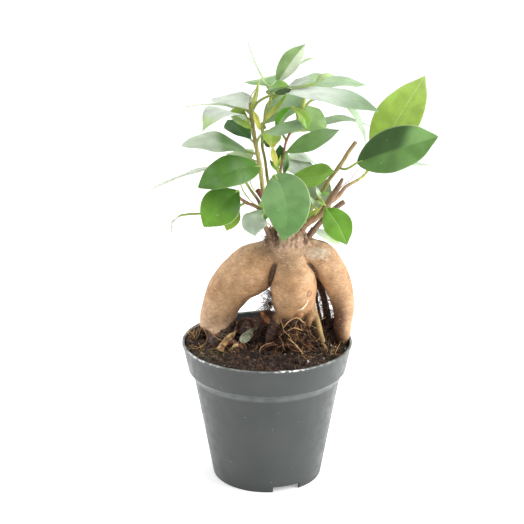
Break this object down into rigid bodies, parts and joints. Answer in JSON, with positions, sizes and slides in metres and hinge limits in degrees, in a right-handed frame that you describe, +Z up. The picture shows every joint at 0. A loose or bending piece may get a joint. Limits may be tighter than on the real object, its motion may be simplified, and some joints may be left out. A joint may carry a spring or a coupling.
{
  "type": "ficus ginseng bonsai",
  "caption": "Small potted fig tree with swollen arching roots that lift a knobbly crown of leafy stems above soil in a tapered nursery pot.",
  "frame": {"origin": "centre of the disc under the pot that it stands on", "axes": "+Z up; the front with the large hanging leaf faces -Y; +X to the right of the front view"},
  "size_m": [0.1965, 0.12, 0.3086],
  "materials": {
    "pot_plastic": "satin grey moulded plastic with faint rub marks",
    "potting_soil": "dark brown coir soil with golden fibres",
    "root_bark": "smooth tan root skin with fine specks",
    "pale_foliage": "glossy grey-green leaf",
    "green_foliage": "glossy mid-green leaf",
    "lime_foliage": "glossy lime-green leaf",
    "loose_bark": "dry tan bark",
    "dry_leaf": "dull grey-green dry leaf"
  },
  "bodies": {
    "root": {"pot": "pot_plastic", "soil": "potting_soil", "root_stock": "root_bark", "stem_tall": "pale_foliage", "stem_middle": "pale_foliage", "stem_centre": "green_foliage", "stem_cut": "green_foliage", "stem_branch": "lime_foliage", "stem_low_right": "green_foliage", "stem_left": "green_foliage", "stem_front": "green_foliage", "bark_chip": "loose_bark", "leaf_scrap": "dry_leaf"}
  },
  "joints": []
}
